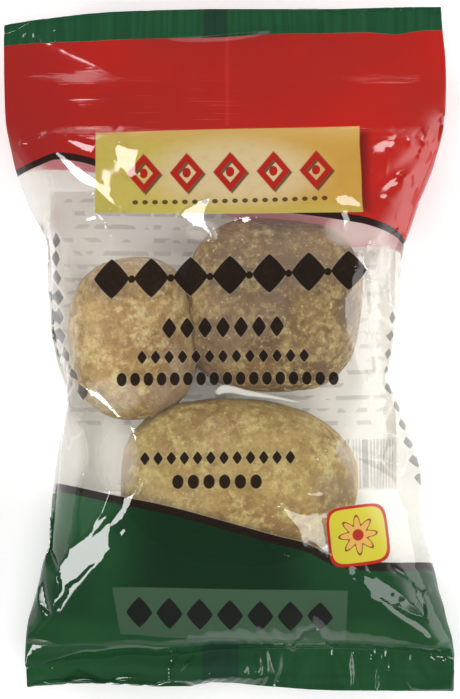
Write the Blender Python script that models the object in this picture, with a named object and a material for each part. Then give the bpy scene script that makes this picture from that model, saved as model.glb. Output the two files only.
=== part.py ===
"""Sealed pillow bag of three jaggery lumps, lying on its back.

Metres, +Z up. The bag lies along Y with its header seal at +Y, its front faces +Z,
and the origin is the centre of its bounding box on the surface that it lies on.
The clear film is shut round the lumps, so bag and contents are one closed solid.
"""

import bmesh
import bpy
import numpy as np

# ---------------------------------------------------------------- driving sizes
BAG_WIDTH = 0.1845          # widest place, at the foot seal
BAG_LENGTH = 0.2796         # header edge to foot edge, over the filled bag
SEAM_THICKNESS = 0.0012     # two films and the air between them, at every edge
FILM_GAP = 0.0004           # film stands off the lumps by this much

HEADER_LENGTH = 0.040       # flat strip above the top seal
FOOT_LENGTH = 0.018         # flat strip below the bottom seal
HEADER_HEIGHT = 0.0075      # how high the header's free edge is off the ground
FOOT_HEIGHT = 0.0060
EDGE_HEIGHT = 0.0250        # the side folds beside the lumps
HEADER_SKEW = 0.0070        # the header's left corner is pulled down by this

# The side folds of the filled bag: (y, left x, right x). It is widest at the flat
# seals and pinched where the film falls in between the upper and the lower lumps.
SIDE_STATIONS = (
    (0.1398, -0.0918, 0.0865),
    (0.0980, -0.09225, 0.0890),
    (0.0795, -0.0890, 0.0849),
    (0.0611, -0.0832, 0.0779),
    (0.0426, -0.0742, 0.0713),
    (0.0201, -0.0738, 0.0701),
    (-0.0004, -0.0713, 0.0677),
    (-0.0160, -0.0664, 0.0648),
    (-0.0312, -0.0677, 0.0726),
    (-0.0496, -0.0713, 0.0783),
    (-0.0742, -0.0734, 0.0800),
    (-0.0988, -0.0787, 0.0857),
    (-0.1173, -0.0832, 0.0910),
    (-0.1398, -0.0828, 0.09225),
)

# Lumps: centre x, y, half sizes along x, y, z, turn about Z in degrees, squareness
LUMPS = (
    (-0.0395, 0.0045, 0.0275, 0.0340, 0.0290, 6.0, 2.7),
    (0.0185, 0.0180, 0.0365, 0.0365, 0.0300, -6.0, 3.0),
    (0.0035, -0.0535, 0.0495, 0.0345, 0.0295, -4.0, 2.6),
)
LUMP_SUNK = 0.0006          # depth of the flat spot that each lump rests on

COLUMNS, ROWS = 32, 50      # faces across and along each film
SETTLE_STEPS = 900          # rounds of pulling the film tight over the lumps


def smooth(edge_a, edge_b, value):
    """0 at edge_a, 1 at edge_b, with no kink at either."""
    t = np.clip((value - edge_a) / (edge_b - edge_a), 0.0, 1.0)
    return t * t * (3.0 - 2.0 * t)


def side_folds(y):
    """Left and right x of the bag's side folds at y, through SIDE_STATIONS."""
    stations = np.array(sorted(SIDE_STATIONS))
    sides = []
    for column in (1, 2):
        xs, ys = stations[:, column], stations[:, 0]
        slopes = np.gradient(xs, ys)
        i = np.clip(np.searchsorted(ys, y) - 1, 0, len(ys) - 2)
        h = ys[i + 1] - ys[i]
        t = (y - ys[i]) / h
        sides.append(
            xs[i] * (1 + 2 * t) * (1 - t) ** 2
            + slopes[i] * h * t * (1 - t) ** 2
            + xs[i + 1] * t * t * (3 - 2 * t)
            + slopes[i + 1] * h * t * t * (t - 1)
        )
    return sides


def lump_faces(x, y):
    """Lowest and highest z of the lumps at each x, y, and the share of a lump there."""
    low = np.full(x.shape, 1.0)
    high = np.full(x.shape, -1.0)
    for cx, cy, a, b, c, turn, power in LUMPS:
        cos, sin = np.cos(np.radians(turn)), np.sin(np.radians(turn))
        u = ((x - cx) * cos + (y - cy) * sin) / a
        v = (-(x - cx) * sin + (y - cy) * cos) / b
        inside = 1.0 - np.abs(u) ** power - np.abs(v) ** power
        half = c * np.clip(inside, 0.0, 1.0) ** (1.0 / power)
        middle = c - LUMP_SUNK
        over = inside > 0.0
        low = np.where(over, np.minimum(low, middle - half), low)
        high = np.where(over, np.maximum(high, middle + half), high)
    return low, high


def rim_height(x, y):
    """Height of the flat seals and the side folds, drooping towards the ends."""
    top, foot = BAG_LENGTH / 2, -BAG_LENGTH / 2
    droop_top = smooth(top, top - HEADER_LENGTH - 0.030, y)
    droop_foot = smooth(foot, foot + FOOT_LENGTH + 0.034, y)
    height = HEADER_HEIGHT + (EDGE_HEIGHT - HEADER_HEIGHT) * droop_top
    low = FOOT_HEIGHT + (EDGE_HEIGHT - FOOT_HEIGHT) * droop_foot
    height = np.minimum(height, low)
    ripple = 0.0016 * np.sin(x / 0.0125 + 0.6) + 0.0010 * np.sin(x / 0.0071)
    flat = np.maximum(1 - droop_top, 1 - droop_foot)
    return height + ripple * smooth(0.55, 1.0, flat)


def film_heights(x, y):
    """The front and the back film, pulled tight from the seals over the lumps."""
    rim = rim_height(x, y)
    sealed = (y > BAG_LENGTH / 2 - HEADER_LENGTH) | (y < -BAG_LENGTH / 2 + FOOT_LENGTH)
    sealed[0, :] = sealed[-1, :] = True
    sealed[:, 0] = sealed[:, -1] = True
    low, high = lump_faces(x, y)
    front, back = rim.copy(), rim - SEAM_THICKNESS
    for _ in range(SETTLE_STEPS):
        for film in (front, back):
            near = film.copy()
            near[1:-1, 1:-1] = 0.25 * (
                film[2:, 1:-1] + film[:-2, 1:-1] + film[1:-1, 2:] + film[1:-1, :-2]
            )
            film[~sealed] = near[~sealed]
        over = ~sealed
        front[over] = np.maximum(front, high + FILM_GAP)[over]
        back[over] = np.maximum(np.minimum(back, low - FILM_GAP), 0.0)[over]
    thin = front - back < SEAM_THICKNESS
    back[thin] = np.maximum(front - SEAM_THICKNESS, 0.0)[thin]
    return front, back


def grid_places():
    """x and y of each grid point, from the side folds and the two end edges."""
    s = np.linspace(0.0, 1.0, COLUMNS + 1)[:, None]
    t = np.linspace(0.0, 1.0, ROWS + 1)[None, :]
    y = np.broadcast_to(-BAG_LENGTH / 2 + BAG_LENGTH * t, (COLUMNS + 1, ROWS + 1))
    left, right = side_folds(y)
    x = left + (right - left) * s
    x = (x - x.min()) * BAG_WIDTH / (x.max() - x.min()) - BAG_WIDTH / 2
    skew = HEADER_SKEW * (1.0 - s) ** 2.4 * smooth(0.84, 1.0, t)
    return x, y - skew


def make_material(name, colour, roughness, metallic):
    material = bpy.data.materials.new(name)
    material.use_nodes = True
    shader = material.node_tree.nodes["Principled BSDF"]
    shader.inputs["Base Color"].default_value = (*colour, 1.0)
    shader.inputs["Roughness"].default_value = roughness
    shader.inputs["Metallic"].default_value = metallic
    return material


def make_bag(collection):
    """A flat grid, lifted to the front film, then extruded down to the back film."""
    x, y = grid_places()
    front, back = film_heights(x, y)
    mesh = bpy.data.meshes.new("bag")
    bm = bmesh.new()
    bmesh.ops.create_grid(bm, x_segments=COLUMNS, y_segments=ROWS, size=0.5)
    where = {}
    for vert in bm.verts:
        where[vert] = (
            round((vert.co.x + 0.5) * COLUMNS),
            round((vert.co.y + 0.5) * ROWS),
        )
    grown = bmesh.ops.extrude_face_region(bm, geom=bm.faces[:])
    lower = {v for v in grown["geom"] if isinstance(v, bmesh.types.BMVert)}
    for vert in bm.verts:
        i, j = (
            round((vert.co.x + 0.5) * COLUMNS),
            round((vert.co.y + 0.5) * ROWS),
        )
        z = back[i, j] if vert in lower else front[i, j]
        vert.co = (x[i, j], y[i, j], z)
    bmesh.ops.recalc_face_normals(bm, faces=bm.faces[:])
    bm.to_mesh(mesh)
    bm.free()
    mesh.shade_smooth()
    bag = bpy.data.objects.new("bag", mesh)
    mesh.materials.append(make_material("bag_film", (0.62, 0.42, 0.17), 0.22, 0.0))
    collection.objects.link(bag)
    return bag


def main():
    for leftover in list(bpy.data.objects):
        bpy.data.objects.remove(leftover)
    collection = bpy.data.collections.new("jaggery_bag")
    bpy.context.scene.collection.children.link(collection)
    make_bag(collection)


main()
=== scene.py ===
"""Looks of a sealed clear pillow bag of three jaggery lumps, lying on its back.

The film is a ring of cloth settled over the lumps in numpy, so its folds come from the
same sizes as the CAD solid. Its print is fields of colour and plain ornaments.
"""

import math

import bmesh
import bpy
import numpy as np
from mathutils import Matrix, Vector


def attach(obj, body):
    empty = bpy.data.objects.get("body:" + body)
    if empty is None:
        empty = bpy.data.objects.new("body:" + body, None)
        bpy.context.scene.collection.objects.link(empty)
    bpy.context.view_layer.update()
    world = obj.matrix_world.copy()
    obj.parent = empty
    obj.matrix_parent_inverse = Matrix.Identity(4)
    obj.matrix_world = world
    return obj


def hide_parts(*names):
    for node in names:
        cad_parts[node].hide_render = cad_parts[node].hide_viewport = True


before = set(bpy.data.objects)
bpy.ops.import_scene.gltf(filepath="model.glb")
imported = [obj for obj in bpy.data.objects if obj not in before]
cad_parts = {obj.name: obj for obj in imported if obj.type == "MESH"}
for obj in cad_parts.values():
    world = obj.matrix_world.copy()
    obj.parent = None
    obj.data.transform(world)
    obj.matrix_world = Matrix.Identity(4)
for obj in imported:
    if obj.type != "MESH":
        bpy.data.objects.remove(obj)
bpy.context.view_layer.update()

# ------------------------------------------------------------------ the bag's sizes (m)
FLAT_WIDTH, FLAT_LENGTH = 0.1797, 0.3010   # the empty bag laid flat
HEAD_SEAL, FOOT_SEAL = 0.0110, 0.0180      # welded strips at its two ends
COLUMNS, ROWS = 30, 47                     # cells across one face and along it, before doubling
GAP = 0.00035                              # film to lump

# Side folds of the filled bag in the plan view: (y, x) in mm, head to foot
LEFT_FOLD = (
    (139.8, -91.8), (130.8, -92.2), (118.5, -92.2), (104.1, -92.2), (98.0, -92.2), (91.8, -92.0), (85.7, -90.6),
    (79.5, -89.0), (73.4, -87.7), (67.2, -85.3), (61.1, -83.2), (54.9, -80.0), (48.8, -76.3), (42.6, -74.2),
    (36.5, -74.2), (24.2, -74.2), (18.0, -73.4), (5.7, -72.6), (-0.4, -71.3), (-6.6, -70.1), (-12.7, -68.1),
    (-18.9, -66.0), (-25.0, -66.4), (-31.2, -67.7), (-37.3, -69.3), (-43.5, -70.5), (-49.6, -71.3), (-61.9, -72.6),
    (-74.2, -73.4), (-80.4, -73.4), (-86.5, -75.9), (-92.7, -77.1), (-98.8, -78.7), (-105.0, -80.4),
    (-111.1, -82.4), (-117.3, -83.2), (-127.5, -83.6), (-139.8, -82.8),
)
RIGHT_FOLD = (
    (139.8, 86.5), (128.7, 87.3), (118.5, 88.6), (110.3, 89.0), (98.0, 89.0), (91.8, 88.4), (85.7, 86.9), (79.5, 84.9),
    (73.4, 83.2), (67.2, 80.8), (61.1, 77.9), (54.9, 75.9), (48.8, 73.8), (42.6, 71.3), (36.5, 70.5), (30.3, 70.1),
    (24.2, 70.1), (11.9, 69.7), (5.7, 68.9), (-0.4, 67.7), (-6.6, 66.0), (-12.7, 64.4), (-16.0, 65.2), (-18.9, 67.7),
    (-25.0, 70.5), (-31.2, 72.6), (-37.3, 75.0), (-43.5, 76.7), (-49.6, 78.3), (-61.9, 78.7), (-68.1, 78.7),
    (-74.2, 79.9), (-80.4, 81.6), (-86.5, 82.8), (-92.7, 84.5), (-98.8, 85.7), (-105.0, 87.7), (-111.1, 89.0),
    (-117.3, 91.0), (-123.4, 91.8), (-139.8, 92.2),
)
# Free edges of the two end seals: (share of the width, y in mm)
HEAD_EDGE = ((0.0, 132.4), (0.08, 134.9), (0.2, 137.3), (0.33, 138.8), (0.5, 139.6), (0.78, 139.2), (1.0, 140.0))
FOOT_EDGE = ((0.0, -139.4), (0.1, -138.6), (0.3, -137.8), (0.42, -137.5), (0.5, -138.2), (0.75, -140.0), (1.0, -139.8))

# Lumps: centre x, y, half sizes along x, y, z, turn about Z in degrees, squareness seen
# from above, squareness seen from the side, unevenness
LUMPS = (
    (-0.0395, 0.0045, 0.0275, 0.0340, 0.0290, 6.0, 2.4, 3.2, 0.026),
    (0.0185, 0.0180, 0.0365, 0.0365, 0.0300, -6.0, 2.8, 3.2, 0.020),
    (0.0035, -0.0535, 0.0495, 0.0345, 0.0295, -4.0, 2.3, 3.2, 0.026),
)
SUNK = 0.0006


def lump_waves(which):
    """Directions, strengths and phases of the broad bumps that make a lump uneven."""
    rng = np.random.default_rng(40 + which)
    ways = rng.normal(size=(9, 3))
    ways *= (np.array([1.6, 1.9, 2.3, 2.8, 3.4, 4.1, 4.9, 5.8, 6.8]) / np.linalg.norm(ways, axis=1))[:, None]
    return ways, 1.0 / np.linalg.norm(ways, axis=1), rng.uniform(0, 2 * np.pi, 9)


WAVES = [lump_waves(i) for i in range(3)]


def unevenness(which, u, v, w):
    """How far a lump's true surface stands out along each direction, round 1."""
    ways, strengths, phases = WAVES[which]
    total = 0.0
    for (a, b, c), strength, phase in zip(ways, strengths, phases):
        total = total + strength * np.sin(a * u + b * v + c * w + phase)
    return 1.0 + LUMPS[which][8] * total


def fold_x(table, y):
    places = np.array(table[::-1]) * 0.001
    return np.interp(y, places[:, 0], places[:, 1])


def tie(a, b, rest, k=1.0):
    """Brings each pair of points to its rest length, half from either side."""
    gap = b - a
    gap *= (0.5 * k) * (1.0 - rest / np.maximum(np.sqrt((gap * gap).sum(0)), 1e-9))
    a += gap
    b -= gap


def hold_cloth(P, du, dv):
    """The film doesn't stretch: along the ring, along the bag, and on both diagonals."""
    tie(P[:, :, 0::2], P[:, :, 1::2], du)
    tie(P[:, :, 1:-1:2], P[:, :, 2::2], du)
    tie(P[:, :, -1], P[:, :, 0], du)
    tie(P[:, 0:-1:2], P[:, 1::2], dv)
    tie(P[:, 1:-1:2], P[:, 2::2], dv)
    across = math.hypot(du, dv)
    rows = P.shape[1] - 1
    for one, other in ((0, 1), (1, 0)):
        a, b = P[:, one:rows + one], P[:, other:rows + other]
        tie(a[:, :, 0::2], b[:, :, 1::2], across)
        tie(a[:, :, 1:-1:2], b[:, :, 2::2], across)
        tie(a[:, :, -1], b[:, :, 0], across)


def stiffen(P, du, dv, k):
    """Springs back from sharp bends, as polypropylene film does."""
    d = np.roll(P, -1, 2) - np.roll(P, 1, 2)
    d *= np.minimum(0, 1 - 2 * du / np.maximum(np.sqrt((d * d).sum(0)), 1e-9)) * 0.25 * k
    P += np.roll(d, -1, 2)
    P -= np.roll(d, 1, 2)
    d = P[:, 2:] - P[:, :-2]
    d *= np.minimum(0, 1 - 2 * dv / np.maximum(np.sqrt((d * d).sum(0)), 1e-9)) * 0.25 * k
    P[:, :-2] += d
    P[:, 2:] -= d


def keep_outside(P, grow, gap):
    """Pushes film out of the lumps and off the ground. Returns the points it touched."""
    x, y, z = P
    touched = np.zeros(x.shape, bool)
    for which, (cx, cy, a, b, c, turn, round_, side, uneven) in enumerate(LUMPS):
        a2, b2, c2 = a * grow + gap, b * grow + gap, c * grow + gap
        cos, sin = math.cos(math.radians(turn)), math.sin(math.radians(turn))
        dx, dy, dz = x - cx, y - cy, z - (c - SUNK)
        u, v = dx * cos + dy * sin, dy * cos - dx * sin
        room = 1.0 + 2.2 * uneven
        box = (np.abs(u) < a2 * room) & (np.abs(v) < b2 * room) & (np.abs(dz) < c2 * room)
        if not box.any():
            continue
        at = np.nonzero(box)
        uu, vv, ww = u[box] / a2, v[box] / b2, dz[box] / c2
        au, av, aw = np.abs(uu), np.abs(vv), np.abs(ww)
        h = (au ** round_ + av ** round_) ** (1 / round_)
        g = (h ** side + aw ** side) ** (1 / side)
        radius = np.sqrt(uu * uu + vv * vv + ww * ww) + 1e-9
        g = g / unevenness(which, uu / radius, vv / radius, ww / radius)
        inside = g < 1
        if not inside.any():
            continue
        at = (at[0][inside], at[1][inside])
        uu, vv, ww, au, av, aw, h, g = [q[inside] for q in (uu, vv, ww, au, av, aw, h, g)]
        g, h = np.maximum(g, 0.05), np.maximum(h, 1e-4)
        k = g ** (1 - side)
        flat = k * h ** (side - round_)
        gu = np.sign(uu) * au ** (round_ - 1) / a2 * flat
        gv = np.sign(vv) * av ** (round_ - 1) / b2 * flat
        gw = np.sign(ww) * aw ** (side - 1) / c2 * k
        t = (1 - g) / np.maximum(gu * gu + gv * gv + gw * gw, 1e-6)
        mu, mv = t * gu, t * gv
        P[0][at] += mu * cos - mv * sin
        P[1][at] += mu * sin + mv * cos
        P[2][at] += t * gw
        touched[at] = True
    np.maximum(P[2], 0.0, out=P[2])
    return touched


def outward(P):
    """The film's outward direction at each point."""
    tu = np.roll(P, -1, 2) - np.roll(P, 1, 2)
    tv = np.empty_like(P)
    tv[:, 1:-1] = P[:, 2:] - P[:, :-2]
    tv[:, 0] = P[:, 1] - P[:, 0]
    tv[:, -1] = P[:, -1] - P[:, -2]
    n = np.stack([
        tu[1] * tv[2] - tu[2] * tv[1],
        tu[2] * tv[0] - tu[0] * tv[2],
        tu[0] * tv[1] - tu[1] * tv[0],
    ])
    return n / np.maximum(np.sqrt((n * n).sum(0)), 1e-12)


def flat_places(P):
    """Where each point of the ring lies on the empty bag, from its middle."""
    rows, ring = P.shape[1:]
    half = ring // 2
    i = np.arange(ring)
    across = np.where(i <= half, i / half, 2 - i / half) - 0.5
    along = np.linspace(-0.5, 0.5, rows)
    return across * FLAT_WIDTH, along * FLAT_LENGTH


def open_tube():
    """The bag before it's filled: a flat ring, front half first, left to right."""
    P = np.zeros((3, ROWS + 1, 2 * COLUMNS), np.float32)
    across, along = flat_places(P)
    P[0], P[1] = across[None, :], along[:, None]
    P[2] = 0.029 + 0.006 * np.sin(np.pi * np.arange(2 * COLUMNS) / COLUMNS)[None, :]
    return P


def doubled(P):
    """The same film with twice the points each way."""
    rows, ring = P.shape[1:]
    Q = np.empty((3, rows, ring * 2), P.dtype)
    Q[:, :, 0::2] = P
    Q[:, :, 1::2] = (9 * (P + np.roll(P, -1, 2)) - (np.roll(P, 1, 2) + np.roll(P, -2, 2))) / 16
    R = np.empty((3, rows * 2 - 1, ring * 2), P.dtype)
    R[:, 0::2] = Q
    middle = (Q[:, 1:] + Q[:, :-1]) / 2
    middle[:, 1:-1] = (9 * (Q[:, 1:-2] + Q[:, 2:-1]) - (Q[:, :-3] + Q[:, 3:])) / 16
    R[:, 1::2] = middle
    return R


def settle(P, steps, grow_from, rounds, bend, press, weight, damping=0.92):
    """Lets the film fall and tighten over the lumps, which grow into it from grow_from."""
    rows, ring = P.shape[1:]
    half = ring // 2
    du, dv = FLAT_WIDTH / half, FLAT_LENGTH / (rows - 1)
    across, along = flat_places(P)
    share = across / FLAT_WIDTH + 0.5
    foot = slice(0, int((along < -FLAT_LENGTH / 2 + FOOT_SEAL).sum()))
    head = slice(int((along < FLAT_LENGTH / 2 - HEAD_SEAL).sum()), rows)
    other = (ring - np.arange(ring)) % ring
    head_y = np.interp(share, *np.array(HEAD_EDGE).T) * 0.001
    foot_y = np.interp(share, *np.array(FOOT_EDGE).T) * 0.001
    head_x = np.interp(share, [0, 1], [-0.0918, 0.0865])
    foot_x = np.interp(share, [0, 1], [-0.0828, 0.0922])
    speed = np.zeros_like(P)
    for step in range(steps):
        grow = grow_from + (1 - grow_from) * min(1, (step + 1) / steps * 1.25)
        if step % 4 == 0:
            push = outward(P) * press
            push[2] -= weight
        speed *= damping
        new = P + speed + push
        for _ in range(rounds):
            hold_cloth(new, du, dv)
            if bend:
                stiffen(new, du, dv, bend)
            for seal in (foot, head):
                both = new[:, seal]
                both[:] = 0.5 * (both + both[:, :, other])
            keep_outside(new, grow, GAP)
            low, high = fold_x(LEFT_FOLD, new[1]), fold_x(RIGHT_FOLD, new[1])
            x = new[0]
            x -= 0.15 * np.maximum(x - high, 0)
            x += 0.15 * np.maximum(low - x, 0)
            x[:, 0] += 0.2 * (low[:, 0] - x[:, 0])
            x[:, half] += 0.2 * (high[:, half] - x[:, half])
            new[1, -1] += 0.5 * (head_y - new[1, -1])
            new[1, 0] += 0.5 * (foot_y - new[1, 0])
            new[0, -1] += 0.5 * (head_x - new[0, -1])
            new[0, 0] += 0.5 * (foot_x - new[0, 0])
        touched = keep_outside(new, grow, GAP)
        speed = new - P
        speed[:, touched] *= 0.6
        P = new
    return P


def drape(quick=False):
    """The filled bag's film, as a ring of points by row, foot to head."""
    rng = np.random.default_rng(3)
    P = open_tube()
    P[2] += rng.normal(0, 0.0004, P.shape[1:]).astype(np.float32)
    P = settle(P, 260, 0.15, 6, 0.30, 2.0e-5, 1.2e-6)
    P = settle(P, 160, 1.0, 8, 0.30, 0.5e-5, 1.2e-6)
    P = doubled(P)
    P = settle(P, 60 if quick else 170, 1.0, 7, 0.22, 0.5e-5, 1.2e-6)
    P = doubled(P)
    P = settle(P, 12 if quick else 110, 1.0, 7, 0.16, 0.4e-5, 1.2e-6)
    P = doubled(P)
    P = settle(P, 3 if quick else 40, 1.0, 6, 0.12, 0.3e-5, 1.2e-6)
    return P
# ------------------------------------------------------------------ folds in the front film
# Where the film is pulled into a flat place between folds: the tilt of its face from level
# and the azimuth that it leans to from +X, in degrees, then its corners. All places here
# are in units of 0.41 mm, x from the left and y down from the top, as the print's are.
UNIT = 0.00041
EYE = (0.0004, -0.0002, 0.024 + 699 * UNIT / 36 * 200)


def plan_places(P):
    """Where each point of the film falls in the print's units, seen from over the bag."""
    far = (699 * UNIT / 36 * 200) / (EYE[2] - P[2])
    return 230.0 + (P[0] - EYE[0]) * far / UNIT, 349.5 - (P[1] - EYE[1]) * far / UNIT


UPPER_LEFT, LOWER_LEFT, LOWER_RIGHT, UPPER_RIGHT, RIGHT = (27, 128), (28, -157), (22, -48), (27, 55), (43, 0)
FACETS = (
    # the long fold from the header's left end over the label's corner
    (UPPER_LEFT, ((50, 143), (59, 151), (75, 162), (84, 169), (94, 177), (107, 189), (115, 199), (121, 210),
                  (111, 205), (102, 198), (94, 189), (85, 182), (76, 174), (67, 164), (57, 152))),
    (UPPER_LEFT, ((68, 138), (79, 140), (93, 145), (93, 155), (86, 153), (79, 150), (72, 145))),
    (UPPER_LEFT, ((112, 134), (119, 124), (126, 134))),
    (UPPER_LEFT, ((112, 149), (116, 141), (124, 144), (137, 150), (139, 178), (128, 180), (121, 168), (115, 159))),
    # over the upper lumps, below the label
    (UPPER_LEFT, ((176, 215), (185, 222), (199, 229), (206, 234), (210, 241), (216, 239), (211, 227), (206, 219),
                  (206, 205), (213, 196), (200, 198), (186, 206))),
    (UPPER_LEFT, ((234, 217), (240, 223), (248, 225), (257, 219), (252, 216), (240, 215))),
    # below the lower lump's left end, down to the foot's corner
    (LOWER_LEFT, ((144, 474), (139, 490), (132, 506), (123, 521), (112, 528), (108, 535), (109, 546), (113, 549),
                  (98, 561), (89, 568), (79, 579), (66, 587), (66, 595), (58, 604), (50, 615), (52, 602),
                  (60, 589), (58, 566), (62, 560), (68, 556), (66, 548), (86, 541), (101, 528), (113, 516),
                  (121, 507), (126, 496), (133, 492))),
    (LOWER_LEFT, ((43, 581), (47, 599), (50, 614), (37, 603), (38, 587))),
    (LOWER_LEFT, ((117, 533), (122, 527), (128, 531), (124, 537))),
    (LOWER_LEFT, ((114, 541), (118, 537), (118, 545), (113, 547))),
    # from the lower lump's right end to the foot's other corner
    (LOWER_RIGHT, ((278, 502), (300, 512), (323, 518), (326, 529), (330, 547), (331, 559), (318, 549), (304, 537),
                   (293, 526), (283, 514))),
    (LOWER_RIGHT, ((343, 565), (352, 567), (359, 575), (366, 574), (375, 581), (389, 588), (403, 596), (418, 606),
                   (425, 613), (428, 622), (408, 615), (398, 609), (384, 600), (369, 591), (362, 584), (362, 577),
                   (351, 573))),
    (LOWER_RIGHT, ((387, 564), (405, 570), (412, 582), (421, 589), (433, 589), (424, 595), (424, 606), (428, 619),
                   (419, 606), (414, 596), (415, 588), (408, 578), (396, 573))),
    (LOWER_RIGHT, ((303, 489), (310, 491), (319, 493), (326, 497), (318, 498), (306, 493))),
    # folds beside the right edge, under the header
    (RIGHT, ((444, 114), (440, 136), (434, 156), (431, 165), (417, 200), (405, 239), (396, 220), (400, 204),
             (406, 189), (412, 186), (400, 181), (407, 175), (416, 167), (427, 161), (431, 157), (427, 150),
             (426, 131), (432, 127))),
    (UPPER_RIGHT, ((422, 128), (410, 137), (419, 140), (427, 149))),
    (UPPER_RIGHT, ((418, 150), (423, 152), (419, 158), (415, 155))),
    # the label's lower right corner, and the upper right lump's shoulder
    (UPPER_RIGHT, ((335, 195), (345, 192), (356, 196), (361, 207), (341, 208), (335, 204))),
    (UPPER_RIGHT, ((341, 208), (350, 208), (349, 222), (343, 233))),
    # drawn tight, so that it mirrors no lamp
    ((38, -176), ((84, 470), (108, 474), (113, 490), (104, 512), (90, 530), (78, 538), (78, 510))),
    ((31, 0), ((355, 268), (366, 268), (368, 292), (372, 330), (374, 370), (363, 372), (360, 364), (356, 351),
               (352, 338), (346, 333), (344, 322), (342, 304), (343, 296), (349, 290), (350, 276))),
    (UPPER_RIGHT, ((360, 252), (364, 251), (366, 262), (371, 276), (373, 285), (366, 276), (361, 264))),
)
# Narrow pleats: how the film leans along them, their width, then their line
PLEATS = (
    (LOWER_LEFT, 4.4, ((86, 388), (98, 397), (110, 409), (122, 420), (135, 428))),
    (LOWER_LEFT, 2.8, ((135, 428), (138, 441), (136, 460), (144, 472))),
    (LOWER_LEFT, 2.6, ((50, 614), (36, 630), (26, 642))),
    (UPPER_LEFT, 2.6, ((120, 210), (139, 230), (157, 237))),
    (UPPER_LEFT, 2.8, ((21, 143), (33, 140), (43, 135), (47, 133))),
    (UPPER_LEFT, 3.0, ((46, 133), (52, 143))),
    (UPPER_LEFT, 2.6, ((52, 133), (64, 135), (94, 135), (112, 133))),
    (UPPER_LEFT, 2.6, ((96, 208), (107, 212), (120, 212))),
    (UPPER_LEFT, 2.6, ((96, 211), (102, 219), (107, 230), (114, 241))),
    (UPPER_LEFT, 2.6, ((94, 191), (102, 200), (112, 208))),
    (UPPER_LEFT, 2.4, ((86, 219), (93, 217), (99, 219))),
    (LOWER_RIGHT, 2.4, ((224, 547), (232, 539), (243, 535), (257, 540), (275, 549), (292, 557))),
    (LOWER_RIGHT, 2.4, ((293, 647), (302, 634), (316, 629))),
    (UPPER_RIGHT, 2.6, ((390, 133), (396, 128))),
    (UPPER_RIGHT, 2.6, ((370, 172), (374, 167))),
    (UPPER_RIGHT, 2.4, ((316, 457), (330, 450), (346, 441))),
    (RIGHT, 3.0, ((396, 229), (382, 236), (366, 249))),
)


def inside_pleat(x, y, width, line):
    """True at the places nearer to a line than half its width, which narrows to its ends."""
    within = np.zeros(x.shape, bool)
    for number, ((xa, ya), (xb, yb)) in enumerate(zip(line, line[1:])):
        long = math.hypot(xb - xa, yb - ya)
        t = ((x - xa) * (xb - xa) + (y - ya) * (yb - ya)) / long ** 2
        away = np.hypot(x - xa - np.clip(t, 0, 1) * (xb - xa), y - ya - np.clip(t, 0, 1) * (yb - ya))
        within |= away < width / 2
    return within


def inside_outline(x, y, corners):
    """True at the places inside a closed outline."""
    within = np.zeros(x.shape, bool)
    for (xa, ya), (xb, yb) in zip(corners, corners[1:] + corners[:1]):
        crosses = (ya > y) != (yb > y)
        with np.errstate(divide="ignore", invalid="ignore"):
            within ^= crosses & (x < (xb - xa) * (y - ya) / (yb - ya) + xa)
    return within


def pull_flat(P, strength=20.0, loose=0.10, hold=0.0020, rounds=240):
    """Lifts or lowers the front film a little, so that each facet gets its own slope."""
    rows, ring = P.shape[1:]
    half = ring // 2
    x, y, z = P[:, :, :half + 1].astype(float)
    across, down = plan_places(P[:, :, :half + 1])
    which = np.full(x.shape, -1)
    leans = []
    for lean, width, line in PLEATS:
        which[inside_pleat(across, down, width, line)] = len(leans)
        leans.append(lean)
    for lean, corners in FACETS:
        which[inside_outline(across, down, corners)] = len(leans)
        leans.append(lean)
    slope = np.array([
        (-math.tan(math.radians(tilt)) * math.cos(math.radians(lean)),
         -math.tan(math.radians(tilt)) * math.sin(math.radians(lean))) for tilt, lean in leans
    ] + [(0.0, 0.0)])

    def wanted(axis):
        one = [slice(None, -1), slice(None)] if axis == 0 else [slice(None), slice(None, -1)]
        two = [slice(1, None), slice(None)] if axis == 0 else [slice(None), slice(1, None)]
        one, two = tuple(one), tuple(two)
        same = which[one] == which[two]
        flat = same & (which[one] >= 0)
        g = slope[which[one]]
        rise = g[..., 0] * (x[two] - x[one]) + g[..., 1] * (y[two] - y[one])
        change = np.where(flat, rise - (z[two] - z[one]), 0.0)
        weight = np.where(flat, strength, np.where(same, 1.0, loose))
        return one, two, change, weight

    edges = [wanted(0), wanted(1)]
    touching = keep_outside(P.copy(), 1.0, GAP + 0.0003)[:, :half + 1]
    facing = outward(P)[2][:, :half + 1]
    fixed = (facing < 0.12)
    fixed[0] = fixed[-1] = True
    fixed[:, 0] = fixed[:, -1] = True
    lift = np.zeros(x.shape)
    for _ in range(4):
        spring = np.where(fixed, 50.0, hold + np.where(touching & (lift < -1e-5), 8.0, 0.0))

        def apply(h):
            total = spring * h
            for one, two, _, weight in edges:
                d = weight * (h[two] - h[one])
                total[two] += d
                total[one] -= d
            return total

        goal = np.zeros(x.shape)
        for one, two, change, weight in edges:
            goal[two] += weight * change
            goal[one] -= weight * change
        r = goal - apply(lift)
        p = r.copy()
        rr = (r * r).sum()
        for _ in range(rounds):
            q = apply(p)
            a = rr / max((p * q).sum(), 1e-30)
            lift += a * p
            r -= a * q
            new = (r * r).sum()
            p = r + (new / max(rr, 1e-30)) * p
            rr = new
    P[2, :, :half + 1] += lift
    return P


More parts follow.
